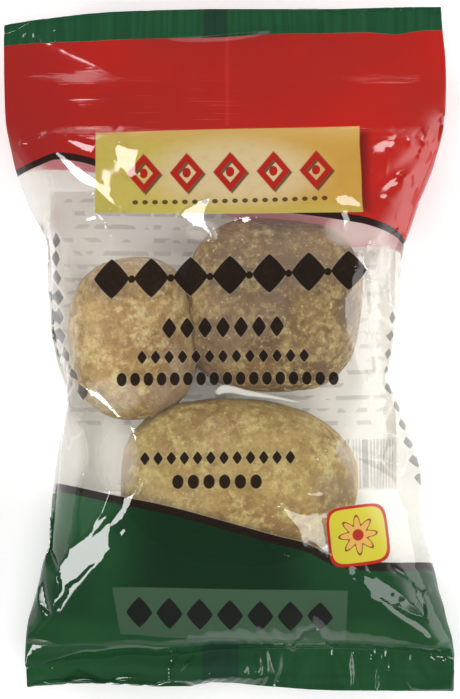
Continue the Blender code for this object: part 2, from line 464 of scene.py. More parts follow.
# Zones of small wrinkles: x and y ranges, how many, their usual direction and its spread in
# degrees, the range of their lengths, and their height in mm
WRINKLES = (
    ((14, 60), (168, 235), 26, 60, 50, (12, 40), 0.13),
    ((50, 92), (235, 440), 34, 80, 30, (12, 46), 0.13),
    ((60, 140), (440, 500), 16, 60, 40, (10, 30), 0.09),
    ((362, 410), (240, 420), 44, 80, 35, (14, 50), 0.20),
    ((362, 425), (420, 560), 24, 70, 45, (10, 36), 0.14),
    ((385, 440), (120, 235), 22, 50, 55, (8, 24), 0.16),
    ((350, 440), (565, 640), 18, -35, 40, (8, 22), 0.10),
    ((40, 130), (520, 620), 16, 40, 50, (6, 18), 0.10),
    ((20, 430), (60, 130), 26, 2, 12, (18, 60), 0.045),
    ((130, 350), (250, 500), 18, 20, 80, (5, 14), 0.035),
)


def wrinkle(P):
    """Short sharp ridges where the film was handled, along its own outward direction."""
    rows, ring = P.shape[1:]
    half = ring // 2
    rng = np.random.default_rng(17)
    x, y = plan_places(P[:, :, :half + 1])
    rise = np.zeros(x.shape)
    for (x0, x1), (y0, y1), count, way, spread, (short, long), height in WRINKLES:
        for _ in range(count):
            cx, cy = rng.uniform(x0, x1), rng.uniform(y0, y1)
            angle = math.radians(way + rng.uniform(-spread, spread))
            reach, wide = rng.uniform(short, long) / 2, rng.uniform(2.2, 5.0)
            bend, sign = rng.uniform(-0.25, 0.25), 1 if rng.random() < 0.75 else -0.6
            near = (abs(x - cx) < reach + wide) & (abs(y - cy) < reach + wide)
            dx, dy = x[near] - cx, -(y[near] - cy)
            along = (dx * math.cos(angle) + dy * math.sin(angle)) / reach
            off = (dy * math.cos(angle) - dx * math.sin(angle) - bend * reach * along ** 2) / wide
            fade = np.clip(1 - along ** 2, 0, 1) ** 1.5
            rise[near] += sign * height * rng.uniform(0.5, 1.3) * fade * np.clip(1 - abs(off), 0, 1) ** 1.4
    edge = np.minimum(np.arange(half + 1), np.arange(half, -1, -1)) / 8.0
    P[:, :, :half + 1] += outward(P)[:, :, :half + 1] * (0.001 * rise * np.clip(edge, 0, 1)[None, :])
    return P


def level_header(P, behind=84, ahead=30):
    """Takes the waves out of the head strip, which is welded flat and stiffer than the rest."""
    rows, ring = P.shape[1:]
    half = ring // 2
    part = slice(rows - behind, rows)
    front, back = np.arange(half + 1), (ring - np.arange(half + 1)) % ring
    middle = (P[2][part][:, front] + P[2][part][:, back]) / 2
    apart = (P[2][part][:, front] - P[2][part][:, back]) / 2
    t, s = np.meshgrid(np.linspace(-1, 1, behind), np.linspace(-1, 1, half + 1), indexing="ij")
    basis = np.stack([(s ** i * t ** j).ravel() for i in range(3) for j in range(3)], -1)
    found, *_ = np.linalg.lstsq(basis, middle.ravel(), rcond=None)
    level = (basis @ found).reshape(middle.shape)
    calm = apart.copy()
    for _ in range(120):
        calm[:, 1:-1] += 0.25 * (calm[:, 2:] + calm[:, :-2] - 2 * calm[:, 1:-1])
        calm[1:-1] += 0.25 * (calm[2:] + calm[:-2] - 2 * calm[1:-1])
    share = np.clip(np.arange(behind) / (behind - ahead), 0, 1)[:, None]
    share = share * share * (3 - 2 * share)
    middle += (level - middle) * share * 0.94
    apart += (np.maximum(calm, 0.00006) - apart) * share
    P[2, part, :half + 1] = middle + apart
    for column in range(1, half):
        P[2, part, ring - column] = (middle - apart)[:, column]
    return P


# The two cut edges, in the print's units: (x, y)
HEAD_CUT = (
    (4, 25.5), (10, 24), (35, 20), (60, 17), (85, 14), (110, 12), (135, 11), (160, 10), (210, 9), (285, 9), (335, 9),
    (410, 7), (443, 7),
)
FOOT_CUT = (
    (24, 688), (35, 686), (60, 684.5), (85, 683), (110, 684), (160, 686.5), (190, 686), (212, 682), (237, 683),
    (260, 685.5), (310, 689.5), (335, 690.5), (456, 691),
)


def trim_ends(P):
    """Brings the two end strips to their cut edges, drawing in the film behind them."""
    for rows, furthest, cut, reach in (
        (slice(-30, None), np.argmin, HEAD_CUT, 62.0), (slice(0, 30), np.argmax, FOOT_CUT, 78.0),
    ):
        x, y = plan_places(P)
        last = furthest(y[rows], axis=0)[None, :]
        edge_x, edge_y = (np.take_along_axis(q[rows], last, 0)[0] for q in (x, y))
        order = np.argsort(edge_x)
        edge = np.interp(x, edge_x[order], edge_y[order])
        places = np.array(cut, float)
        change = np.interp(x, places[:, 0], places[:, 1]) - edge
        share = np.clip(1 - np.abs(y - edge) / reach, 0, 1)
        P[1] -= UNIT * change * share * share * (3 - 2 * share)
    return P


def fold_film(P):
    """The settled film with its folds, pleats and wrinkles, still clear of the lumps."""
    P = trim_ends(wrinkle(pull_flat(level_header(P.astype(float)))))
    keep_outside(P, 1.0, GAP * 0.6)
    return P


# ------------------------------------------------------------------ helpers for shapes
def lattice(seed):
    return np.random.default_rng(seed).random((32, 32, 32)).astype(np.float32)


def value_noise(places, size, seed):
    """Smooth noise from 0 to 1 with blobs of about this size, at an (n, 3) array."""
    grid = lattice(seed)
    q = places / size
    cell = np.floor(q).astype(int)
    t = q - cell
    t = t * t * (3 - 2 * t)
    total = 0.0
    for dx in (0, 1):
        for dy in (0, 1):
            for dz in (0, 1):
                share = (
                    (t[:, 0] if dx else 1 - t[:, 0])
                    * (t[:, 1] if dy else 1 - t[:, 1])
                    * (t[:, 2] if dz else 1 - t[:, 2])
                )
                total = total + share * grid[
                    (cell[:, 0] + dx) % 32, (cell[:, 1] + dy) % 32, (cell[:, 2] + dz) % 32
                ]
    return total


def layered_noise(places, size, seed, octaves=4, keep=0.5):
    total, weight, share = 0.0, 0.0, 1.0
    for octave in range(octaves):
        total = total + share * value_noise(places + 0.37 * octave, size / 2 ** octave, seed + octave)
        weight += share
        share *= keep
    return total / weight


def new_mesh(name, places, faces, attributes=()):
    """A smooth mesh from an (n, 3) array and an (m, 4) or (m, 3) array."""
    mesh = bpy.data.meshes.new(name)
    mesh.vertices.add(len(places))
    mesh.vertices.foreach_set("co", np.ascontiguousarray(places, np.float32).ravel())
    mesh.loops.add(faces.size)
    mesh.loops.foreach_set("vertex_index", np.ascontiguousarray(faces, np.int32).ravel())
    mesh.polygons.add(len(faces))
    mesh.polygons.foreach_set("loop_start", np.arange(0, faces.size, faces.shape[1], dtype=np.int32))
    mesh.update(calc_edges=True)
    mesh.validate()
    mesh.shade_smooth()
    for label, values in attributes:
        layer = mesh.attributes.new(label, "FLOAT_VECTOR", "POINT")
        layer.data.foreach_set("vector", np.ascontiguousarray(values, np.float32).ravel())
    piece = bpy.data.objects.new(name, mesh)
    bpy.context.scene.collection.objects.link(piece)
    return piece


def grid_faces(rows, columns):
    at = np.arange(rows * columns).reshape(rows, columns)
    return np.stack([at[:-1, :-1], at[:-1, 1:], at[1:, 1:], at[1:, :-1]], -1).reshape(-1, 4)


# ------------------------------------------------------------------ where the print falls
# Print places are in units of 0.41 mm: x from the left, y down from the top, as the filled
# bag lies. They follow the film, through a smooth fit of the settled film to its flat self.


def print_places(P, front):
    """For each point of one face of the film, its place in the print's own units."""
    rows, ring = P.shape[1:]
    half = ring // 2
    across, along = flat_places(P)
    columns = np.arange(0, half + 1) if front else np.arange(half, ring + 1) % ring
    s = (across[columns] / (FLAT_WIDTH / 2))[None, :] * np.ones((rows, 1))
    if not front:
        s[:, -1] = -1.0
    t = (along / (FLAT_LENGTH / 2))[:, None] * np.ones((1, len(columns)))
    degree = 7
    terms = [(i, j) for i in range(degree + 1) for j in range(degree + 1 - i)]
    basis = np.stack([(s ** i * t ** j).ravel() for i, j in terms], -1)
    facing = outward(P)[2][:, columns] * (1 if front else -1)
    weight = (np.clip(facing, 0.05, 1) ** 2).ravel()[::7]
    found = []
    for target in plan_places(P[:, :, columns]):
        target = target.ravel()
        fit, *_ = np.linalg.lstsq(basis[::7] * weight[:, None], target[::7] * weight, rcond=None)
        found.append(basis @ fit)
    x, y = found
    art = np.stack([x / 100, y / 100, np.zeros_like(x)], -1)
    flat = np.stack([(s * FLAT_WIDTH / 2 * 100).ravel(), (t * FLAT_LENGTH / 2 * 100).ravel(), np.zeros(s.size)], -1)
    return art, flat, columns


# ------------------------------------------------------------------ helpers for materials
def linear(red, green, blue):
    """Scene-linear colour of an 8-bit sRGB one."""
    return tuple(
        (c / 255 / 12.92 if c / 255 <= 0.04045 else ((c / 255 + 0.055) / 1.055) ** 2.4)
        for c in (red, green, blue)
    ) + (1.0,)


class Value:
    """A number socket that can be written with, such as (a + 0.5) * b."""

    def __init__(self, paint, socket):
        self.paint, self.socket = paint, socket

    def _with(self, operation, *others):
        return self.paint.maths(operation, self, *others)

    def __add__(self, other):
        return self._with("ADD", other)

    def __radd__(self, other):
        return self._with("ADD", other)

    def __sub__(self, other):
        return self._with("SUBTRACT", other)

    def __rsub__(self, other):
        return self.paint.maths("SUBTRACT", other, self)

    def __mul__(self, other):
        return self._with("MULTIPLY", other)

    def __rmul__(self, other):
        return self._with("MULTIPLY", other)

    def __truediv__(self, other):
        return self._with("DIVIDE", other)

    def __abs__(self):
        return self._with("ABSOLUTE")

    def least(self, other):
        return self._with("MINIMUM", other)

    def most(self, other):
        return self._with("MAXIMUM", other)

    def power(self, other):
        return self._with("POWER", other)


class Paint:
    """Builds one material's nodes."""

    def __init__(self, name):
        self.material = bpy.data.materials.new(name)
        self.material.use_nodes = True
        self.tree = self.material.node_tree
        self.tree.nodes.clear()
        self.output = self.tree.nodes.new("ShaderNodeOutputMaterial")

    def node(self, kind, **settings):
        made = self.tree.nodes.new(kind)
        for key, value in settings.items():
            setattr(made, key, value)
        return made

    def put(self, socket, value):
        if isinstance(value, Value):
            self.tree.links.new(value.socket, socket)
        elif isinstance(value, bpy.types.NodeSocket):
            self.tree.links.new(value, socket)
        else:
            socket.default_value = value

    def maths(self, operation, *values):
        made = self.node("ShaderNodeMath", operation=operation)
        for socket, value in zip(made.inputs, values):
            self.put(socket, value)
        return Value(self, made.outputs[0])

    def attribute(self, name):
        made = self.node("ShaderNodeAttribute", attribute_type="GEOMETRY", attribute_name=name)
        parts = self.node("ShaderNodeSeparateXYZ")
        self.put(parts.inputs[0], made.outputs["Vector"])
        return made.outputs["Vector"], Value(self, parts.outputs[0]), Value(self, parts.outputs[1])

    def step(self, value, low, high):
        """0 up to low, 1 from high, smooth between."""
        made = self.node("ShaderNodeMapRange", interpolation_type="SMOOTHSTEP")
        self.put(made.inputs["Value"], value)
        made.inputs["From Min"].default_value = low
        made.inputs["From Max"].default_value = high
        return Value(self, made.outputs["Result"])

    def curve(self, value, points, x_span=4.6, y_span=7.0):
        """A smooth function through (x, y) points, in the print's units."""
        made = self.node("ShaderNodeFloatCurve")
        line = made.mapping.curves[0]
        places = [(x / 100 / x_span, y / 100 / y_span) for x, y in points]
        while len(line.points) < len(places):
            line.points.new(0.5, 0.5)
        for point, (x, y) in zip(line.points, places):
            point.location = (x, y)
            point.handle_type = "AUTO_CLAMPED"
        made.mapping.extend = "HORIZONTAL"
        made.mapping.update()
        self.put(made.inputs["Value"], value / x_span)
        return Value(self, made.outputs[0]) * y_span

    def box(self, x, y, x0, x1, y0, y1, soft=0.6):
        """1 inside a box given in the print's units."""
        soft = soft / 100
        across = abs(x - (x0 + x1) / 200) - (x1 - x0) / 200
        down = abs(y - (y0 + y1) / 200) - (y1 - y0) / 200
        return self.step(across.most(down), soft, -soft)

    def field(self, x, y, corners, soft=0.6):
        """1 inside a convex outline, its corners clockwise as seen in the print."""
        soft = soft / 100
        worst = None
        for (xa, ya), (xb, yb) in zip(corners, corners[1:] + corners[:1]):
            long = math.hypot(xb - xa, yb - ya)
            nx, ny = (yb - ya) / long, -(xb - xa) / long
            off = x * nx + y * ny - (xa * nx + ya * ny) / 100
            worst = off if worst is None else worst.most(off)
        return self.step(worst, soft, -soft)

    def noise(self, vector, scale, detail=2.0, roughness=0.5, distortion=0.0, kind="FBM"):
        made = self.node("ShaderNodeTexNoise", noise_dimensions="3D")
        self.put(made.inputs["Vector"], vector)
        made.inputs["Scale"].default_value = scale
        made.inputs["Detail"].default_value = detail
        made.inputs["Roughness"].default_value = roughness
        made.inputs["Distortion"].default_value = distortion
        return Value(self, made.outputs["Fac"])

    def cells(self, vector, scale, feature="F1", randomness=1.0):
        made = self.node("ShaderNodeTexVoronoi", feature=feature)
        self.put(made.inputs["Vector"], vector)
        made.inputs["Scale"].default_value = scale
        made.inputs["Randomness"].default_value = randomness
        return Value(self, made.outputs["Distance"])

    def mapped(self, vector, scale=(1, 1, 1), place=(0, 0, 0), turn=(0, 0, 0)):
        made = self.node("ShaderNodeMapping")
        self.put(made.inputs["Vector"], vector)
        made.inputs["Scale"].default_value = scale
        made.inputs["Location"].default_value = place
        made.inputs["Rotation"].default_value = turn
        return made.outputs[0]

    def mix(self, share, a, b):
        """Colour a where share is 0 and b where it is 1."""
        made = self.node("ShaderNodeMix", data_type="RGBA", clamp_factor=True)
        self.put(made.inputs["Factor"], share)
        self.put(made.inputs[6], a)
        self.put(made.inputs[7], b)
        return made.outputs[2]

    def blend(self, share, a, b):
        """Number a where share is 0 and b where it is 1."""
        made = self.node("ShaderNodeMix", data_type="FLOAT", clamp_factor=True)
        self.put(made.inputs["Factor"], share)
        self.put(made.inputs[2], a)
        self.put(made.inputs[3], b)
        return Value(self, made.outputs[0])

    def bump(self, height, strength, distance, normal=None):
        made = self.node("ShaderNodeBump")
        made.inputs["Strength"].default_value = strength
        made.inputs["Distance"].default_value = distance
        self.put(made.inputs["Height"], height)
        if normal is not None:
            self.put(made.inputs["Normal"], normal)
        return made.outputs[0]

    def shader(self, kind, **inputs):
        made = self.node(kind)
        for key, value in inputs.items():
            self.put(made.inputs[key.replace("_", " ")], value)
        return made.outputs[0]

    def mixed(self, share, a, b):
        made = self.node("ShaderNodeMixShader")
        self.put(made.inputs[0], share)
        self.put(made.inputs[1], a)
        self.put(made.inputs[2], b)
        return made.outputs[0]

    def finish(self, surface):
        self.put(self.output.inputs["Surface"], surface)
        return self.material


# ------------------------------------------------------------------ the print
HEAD_LINE = [(0, 48), (60, 43.5), (120, 39.5), (230, 35.5), (340, 34), (440, 32), (460, 31.5)]
TOP_SWOOSH = [
    (0, 180), (18, 171), (38, 160), (58, 153), (76, 155), (95, 160), (150, 178), (220, 196),
    (290, 207), (345, 215), (372, 221), (396, 232), (410, 246), (440, 278),
]
FOOT_SWOOSH = [
    (0, 474), (30, 478), (56, 483), (122, 497), (161, 505), (230, 523), (274, 535), (308, 544),
    (332, 556), (388, 563), (434, 564), (460, 566),
]
BACK_TOP = [(0, 183), (38, 171), (95, 174), (200, 205), (345, 246), (380, 247), (408, 255), (460, 285)]
BACK_FOOT = [(0, 500), (230, 532), (460, 580)]

INK = linear(27, 17, 12)
RED = linear(171, 29, 19)
GREEN = linear(22, 68, 36)
WHITE = (1, 1, 1, 1)


def motifs(paint, x, y, x0, x1, count, y_left, y_right, across, down, power=1.0, soft=0.06):
    """A row of lozenges or spots: 1 on each of them."""
    pitch = (x1 - x0) / count
    along = (x * 100 - x0) / pitch
    middle = paint.maths("FRACT", along) - 0.5
    slope = (y_right - y_left) / (x1 - x0)
    rise = y * 100 - (x * 100 - x0) * slope - y_left
    a, b = abs(middle) * (pitch / across), abs(rise) / down
    if power != 1.0:
        a, b = a.power(power), b.power(power)
    inside = paint.step(a + b, 1 + soft, 1 - soft)
    return inside * paint.step(abs(x * 100 - (x0 + x1) / 2), (x1 - x0) / 2 + 0.2, (x1 - x0) / 2 - 0.2)


def film_surface(paint, colour, cover, gloss_normal, lamps, mirror_rough=0.05, even_shine=None):
    """Ink or haze of this colour and cover on clear film, under one glossy face. Lamps shine
    through with the share or colour that lamps gives."""
    base = paint.shader("ShaderNodeBsdfPrincipled", Base_Color=colour, Roughness=0.45, Specular_IOR_Level=0.0)
    through = paint.shader("ShaderNodeBsdfTransparent", Color=(0.95, 0.955, 0.94, 1))
    body = paint.mixed(cover, through, base)
    shine = paint.shader("ShaderNodeBsdfGlossy", Color=WHITE, Roughness=mirror_rough, Normal=gloss_normal)
    if even_shine is None:
        edge = paint.node("ShaderNodeFresnel")
        edge.inputs["IOR"].default_value = 1.5
        paint.put(edge.inputs["Normal"], gloss_normal)
        # clear film mirrors at both of its faces, printed film only at the outer one
        share = Value(paint, edge.outputs[0]) * (1.75 - 0.75 * cover)
    else:
        share = even_shine
    seen = paint.mixed(share, body, shine)
    lamp = paint.shader("ShaderNodeBsdfTransparent", Color=lamps)
    path = paint.node("ShaderNodeLightPath")
    return paint.mixed(path.outputs["Is Shadow Ray"], seen, lamp)


def front_paint():
    p = Paint("film_front_print")
    art, x, y = p.attribute("art")
    parts = p.node("ShaderNodeSeparateXYZ")
    p.put(parts.inputs[0], art)
    lamps = parts.outputs[2]
    tone, cloud, mottle = p.attribute("tone")
    parts = p.node("ShaderNodeSeparateXYZ")
    p.put(parts.inputs[0], tone)
    # haze: the share of painted glare on the clear film, from the tone's third part
    haze = Value(p, parts.outputs[2])
    strip = y - p.curve(x, HEAD_LINE)
    top = y - p.curve(x, TOP_SWOOSH)
    low = y - p.curve(x, FOOT_SWOOSH)
    in_strip = p.step(strip, 0.004, -0.004)
    in_foot = p.step(y, 6.40, 6.46)
    in_lines = p.step(y, 0.66, 0.84) * p.step(y, 1.40, 1.24)
    in_label = p.field(x, y, [(95, 132), (360, 125.5), (363.5, 213), (94, 214)], 0.5)

    # one fine noise, drawn out along the header's and the foot seal's ribs
    ribbed = p.node("ShaderNodeVectorMath", operation="MULTIPLY")
    p.put(ribbed.inputs[0], art)
    size = p.node("ShaderNodeCombineXYZ")
    p.put(size.inputs[0], p.blend(in_strip, p.blend(in_foot, p.blend(in_lines, 9.0, 1.1), 0.5), 17.0))
    p.put(size.inputs[1], p.blend(in_strip, p.blend(in_foot, p.blend(in_lines, 11.0, 42.0), 15.0), 0.7))
    p.put(ribbed.inputs[1], size.outputs[0])
    fine = p.noise(ribbed.outputs[0], 1.0, 2.0)

    # clear film: a faint milky haze, a little uneven; haze here is painted glare, whitish where the film mirrors the
    # lamps
    colour = p.mix(haze, linear(234, 226, 210), linear(243, 241, 236))
    cover = p.blend(haze, p.step(cloud, 0.35, 0.75) * 0.05 + 0.03, 0.94)

    def lay(mask, ink, opacity):
        nonlocal colour, cover
        colour = p.mix(mask, colour, ink)
        cover = p.blend(mask, cover, opacity)

    # red field with its dark edge line
    red = p.mix(p.step(mottle, 0.3, 0.75), linear(176, 29, 20), linear(163, 32, 25))
    red = p.mix(p.step(x, 1.1, 0.3) * 0.6, red, linear(150, 32, 29))
    # painted glints: thin pale streaks across the red in the band of drawn lines
    red = p.mix(in_lines * p.step(x, 2.7, 1.7) * p.step(fine, 0.60, 0.70) * p.step(cloud, 0.36, 0.52) * 0.5, red, linear(214, 84, 72))
    lay(p.step(top, 0.005, -0.005), red, 0.965)
    lay(p.step(abs(top - 0.028), 0.041, 0.033), INK, 0.97)

    # the green head strip, with upright streaks, and the lap seam showing through
    green = p.mix(p.step(fine, 0.28, 0.78), linear(22, 69, 42), linear(29, 81, 50))
    lay(in_strip, green, 0.98)
    lay(p.box(x, y, 203, 227, -20, 35.5, 1.2) * 0.75, linear(24, 48, 38), 0.98)
    # a thin paler line down the seam's edge: partly the overlapped film showing through, partly a painted highlight on
    # its ridge
    lay(p.box(x, y, 225.5, 229, 36, 126, 1.4) * 0.26, linear(206, 58, 52), 0.97)

    # label: shadow, ground, ornaments
    lay(p.box(x, y, 352, 369, 131, 211, 7) * 0.72, linear(66, 16, 12), 0.97)
    across = p.step(x, 0.95, 3.6)
    ground = p.mix(across, linear(188, 170, 82), linear(186, 143, 64))
    ground = p.mix(p.step(y, 1.22, 1.5), linear(196, 158, 92), ground)
    pale = p.step(p.maths("POWER", abs(x - 2.35) / 1.05, 2.0) + p.maths("POWER", abs(y - 1.73) / 0.42, 2.0), 1.1, 0.1)
    ground = p.mix(pale * 0.75, ground, linear(206, 186, 150))
    ground = p.mix(p.step(y, 1.95, 2.15) * 0.6, ground, linear(176, 168, 84))
    ground = p.mix(p.step(fine, 0.45, 0.75) * 0.16, ground, linear(158, 130, 60))
    lay(in_label, ground, 0.975)
    shade = motifs(p, x - 0.022, y - 0.02, 122, 338, 5, 174, 169, 17, 20, 1.0)
    hole = motifs(p, x - 0.022, y - 0.02, 122, 338, 5, 174, 169, 9.5, 11, 1.0)
    lay((shade - hole).most(0) * 0.85, linear(60, 26, 16), 0.98)
    body = motifs(p, x, y, 122, 338, 5, 174, 169, 17, 20, 1.0)
    hole = motifs(p, x, y, 122, 338, 5, 174, 169, 9.5, 11, 1.0)
    core = motifs(p, x, y, 122, 338, 5, 174, 169, 4.2, 5, 2.0)
    lay(((body - hole).most(0) + core).least(1), linear(164, 32, 22), 0.98)
    lay(motifs(p, x, y, 130, 330, 20, 203, 198.5, 2.9, 2.3, 2.0, 0.2) * 0.9, linear(56, 42, 20), 0.98)

    # plain dark ornaments on the clear window
    dark = motifs(p, x, y, 92, 368, 7, 280, 270, 17.5, 19.5, 1.15, 0.03)
    dark = dark.most(motifs(p, x - 0.197, y, 92, 328, 6, 280, 271.5, 3.6, 3.9, 2.0, 0.12))
    dark = dark.most(motifs(p, x, y, 160, 286, 7, 328, 326, 7.2, 10.5, 1.2, 0.06))
    dark = dark.most(motifs(p, x, y, 135, 311, 13, 357, 355, 5.0, 6.8, 1.2, 0.1))
    dark = dark.most(motifs(p, x, y, 115, 340, 17, 379, 377.5, 5.0, 6.8, 2.0, 0.1))
    dark = dark.most(motifs(p, x, y, 138, 297, 12, 459, 457.5, 4.9, 6.8, 1.2, 0.1))
    dark = dark.most(motifs(p, x, y, 170, 264, 6, 482.5, 482, 5.8, 7.2, 2.0, 0.08))
    lay(dark, linear(26, 17, 11), 0.97)

    # green foot with its dark edge line and a pale green band
    lay(p.step(low, -0.005, 0.005), INK, 0.97)
    green = p.mix(p.step(mottle, 0.3, 0.7), linear(20, 62, 34), linear(27, 76, 40))
    green = p.mix(p.step(x, 1.3, 0.8) * p.step(y, 5.6, 5.2), green, linear(38, 86, 50))
    deep = p.step(abs(x - 2.15), 1.20, 0.55) * p.step(y, 6.36, 5.9)
    green = p.mix(deep * 0.9, green, linear(8, 38, 20))
    green = p.mix(in_foot * p.step(fine, 0.35, 0.7) * 0.55, green, linear(38, 78, 52))
    lay(p.step(low, 0.078, 0.09), green, 0.98)
    lay(p.box(x, y, 202, 238, 643, 760, 1.5) * 0.55, linear(24, 44, 42), 0.985)
    band = p.field(x, y, [(112, 587), (348, 589), (347.5, 642), (120, 634)], 0.6)
    lay(band, linear(60, 87, 65), 0.98)
    lay(motifs(p, x, y, 124, 336, 7, 611, 616, 13, 15, 1.15, 0.05), linear(22, 25, 21), 0.98)

    # the small square emblem: red edge, yellow ground, a plain rosette
    cx, cy, lean = 3.575, 5.36, math.radians(6.0)
    u = (x - cx) * math.cos(lean) - (y - cy) * math.sin(lean)
    v = (x - cx) * math.sin(lean) + (y - cy) * math.cos(lean)
    rim = (abs(u) / 0.305).power(5) + (abs(v) / 0.295).power(5)
    lay(p.step(rim, 1.06, 0.94), linear(174, 38, 28), 0.985)
    rim = (abs(u) / 0.275).power(5) + (abs(v) / 0.265).power(5)
    lay(p.step(rim, 1.06, 0.94), linear(198, 186, 58), 0.985)
    angle = p.maths("ARCTAN2", v, u)
    radius = p.maths("SQRT", u * u + v * v)
    petal = p.maths("COSINE", angle * 8.0) * 0.045 + 0.155
    lay(p.step(radius - petal, 0.006, -0.006), linear(122, 76, 34), 0.985)
    lay(p.step(radius - petal + 0.022, 0.006, -0.006), linear(210, 162, 84), 0.985)
    lay(p.step(radius, 0.062, 0.05), linear(164, 44, 30), 0.985)

    # a column of small dark lozenges down each side fold
    fold = p.curve(y, [(0, 56), (233, 56), (262, 53), (300, 54.5), (335, 58), (365, 68), (396, 84), (700, 84)], 7.0, 4.6)
    marks = motifs(p, y, x - fold + 1.0, 232, 400, 9, 100, 100, 8.2, 5.6, 1.15, 0.1)
    lay(marks * 0.93, linear(36, 33, 31), 0.95)
    fold = p.curve(y, [(0, 396), (300, 396), (330, 394), (380, 386), (400, 396), (440, 408), (490, 419), (700, 419)], 7.0, 4.6)
    marks = motifs(p, y, x - fold + 1.0, 306, 486, 10, 100, 100, 6.0, 4.0, 1.15, 0.1)
    lay(marks * 0.85, linear(58, 56, 55), 0.93)

    # painted light: a pale band where the film is drawn in between the upper and the lower lumps, standing in for the
    # lit ground seen through the gap
    upper = p.curve(x, [(0, 392), (213, 391), (224, 385), (250, 391), (275, 396), (300, 401.5), (460, 402)])
    thick = p.curve(x, [(0, 0.2), (212, 0.4), (221, 8.0), (236, 6.5), (262, 4.0), (298, 1.0), (460, 0.2)])
    painted_gap_light = p.step(y - upper, -0.012, 0.012) * p.step(y - upper - thick, 0.012, -0.012)
    lay(painted_gap_light * p.step(x, 2.12, 2.2) * p.step(x, 3.02, 2.92), linear(226, 222, 212), 0.72)

    # fine relief: upright ribs at the head, drawn lines under it, level ribs at the foot
    ribbed = p.node("ShaderNodeVectorMath", operation="MULTIPLY")
    p.put(ribbed.inputs[0], art)
    size = p.node("ShaderNodeCombineXYZ")
    p.put(size.inputs[0], p.blend(in_strip, p.blend(in_foot, p.blend(in_lines, 4.0, 0.55), 0.4), 20.0))
    p.put(size.inputs[1], p.blend(in_strip, p.blend(in_foot, p.blend(in_lines, 5.0, 24.0), 15.0), 0.5))
    p.put(ribbed.inputs[1], size.outputs[0])
    relief = p.noise(ribbed.outputs[0], 1.0, 1.5) * p.blend(in_strip.most(in_foot.most(in_lines)), 0.10, 0.5)
    normal = p.bump(relief, 1.0, 0.00022)
    return p.finish(film_surface(p, colour, cover, normal, lamps))


def back_paint(name="film_back_print"):
    p = Paint(name)
    art, x, y = p.attribute("art")
    colour = linear(240, 240, 236)
    cover = 0.35

    def lay(mask, ink, opacity):
        nonlocal colour, cover
        colour = p.mix(mask, colour, ink)
        cover = p.blend(mask, cover, opacity)

    inside = Value(p, p.node("ShaderNodeNewGeometry").outputs["Backfacing"])

    # a pale panel with plain rules on the back
    panel = p.box(x, y, 50, 396, 193, 492, 0.6)
    lay(panel, linear(243, 242, 238), 0.84)
    rules = p.maths("FRACT", y * 100 / 13.0)
    rules = p.step(abs(rules - 0.5), 0.22, 0.12)
    words = p.step(p.noise(p.mapped(art, (9, 7.7, 1)), 1.0, 0), 0.44, 0.5)
    lay(panel * rules * words * p.box(x, y, 62, 384, 200, 432, 1) * 0.5, linear(158, 156, 154), 0.85)
    bars = p.step(p.noise(p.mapped(art, (34, 0.2, 1)), 1.0, 0), 0.47, 0.53)
    lay(bars * p.box(x, y, 345, 392, 440, 490, 1) * 0.7, linear(140, 138, 140), 0.85)

    # the ink's inner face is painted pale pink and pale green: painted light, the white ground shining back through
    # the ink
    red = p.mix(inside, RED, linear(240, 146, 162))
    lay(p.step(y - p.curve(x, BACK_TOP), 0.006, -0.006), red, 0.95)
    green = p.mix(inside, GREEN, linear(196, 214, 200))
    lay(p.step(y - p.curve(x, BACK_FOOT), -0.006, 0.006), green, 0.96)
    lay(p.step(y - p.curve(x, HEAD_LINE), 0.004, -0.004), green, 0.96)

    normal = p.bump(p.noise(art, 5.0, 1.5) * 0.12, 1.0, 0.00022)
    return p.finish(film_surface(p, colour, cover, normal, (0.93, 0.93, 0.92, 1), 0.08, 0.035))


def jaggery_paint(name, light, middle, dark, grey):
    """Raw cane sugar: golden, mottled with brown, with pale crystals."""
    p = Paint(name)
    at = p.node("ShaderNodeTexCoord").outputs["Object"]
    tone, broad, patch = p.attribute("tone")
    parts = p.node("ShaderNodeSeparateXYZ")
    p.put(parts.inputs[0], tone)
    stain_and_shade = Value(p, parts.outputs[2])
    fine = p.noise(at, 720, 3, 0.62)
    speck = p.noise(at, 330, 2, 0.6, 0.4)
    grains = p.cells(at, 560)
    mixed = broad * 0.62 + speck * 0.38
    colour = p.mix(p.step(mixed, 0.34, 0.62), dark, middle)
    colour = p.mix(p.step(patch * 0.55 + speck * 0.45, 0.46, 0.68), colour, light)
    # greyish patches: random tone, and painted shade where the lumps touch
    colour = p.mix(p.step(stain_and_shade, 0.56, 0.74) * 0.6, colour, grey)
    colour = p.mix(p.step(fine, 0.52, 0.36) * 0.38, colour, dark)
    crystal = p.step(grains, 0.36, 0.14) * p.step(speck, 0.44, 0.62)
    colour = p.mix(crystal * 0.5, colour, linear(232, 214, 162))
    height = fine * 0.6 + p.step(grains, 0.6, 0.1) * 0.35 + speck * 0.6
    normal = p.bump(height, 0.8, 0.0005)
    rough = p.blend(p.step(patch, 0.4, 0.65), 0.42, 0.66)
    return p.finish(p.shader(
        "ShaderNodeBsdfPrincipled", Base_Color=colour, Roughness=rough, Specular_IOR_Level=0.35, Normal=normal,
    ))


# ------------------------------------------------------------------ pieces
def lamp_share(x, y):
    """How much lamp light the front film lets through at each place in the print."""
    top = np.interp(x, [q[0] for q in TOP_SWOOSH], [q[1] for q in TOP_SWOOSH])
    foot = np.interp(x, [q[0] for q in FOOT_SWOOSH], [q[1] for q in FOOT_SWOOSH])
    share = np.full(x.shape, 0.93)
    for x0, x1, y0, y1, through in (
        (92, 368, 259, 298, 0.68), (160, 286, 317, 338, 0.72), (135, 311, 349, 364, 0.70),
        (115, 340, 371, 386, 0.70), (138, 297, 451, 466, 0.70), (170, 264, 475, 490, 0.74),
    ):
        share[(x > x0) & (x < x1) & (y > y0) & (y < y1)] = through
    share[(y < top + 7) | (y > foot - 1)] = 0.16
    share[(x > 94) & (x < 362) & (y > 126) & (y < 213)] = 0.10
    return share
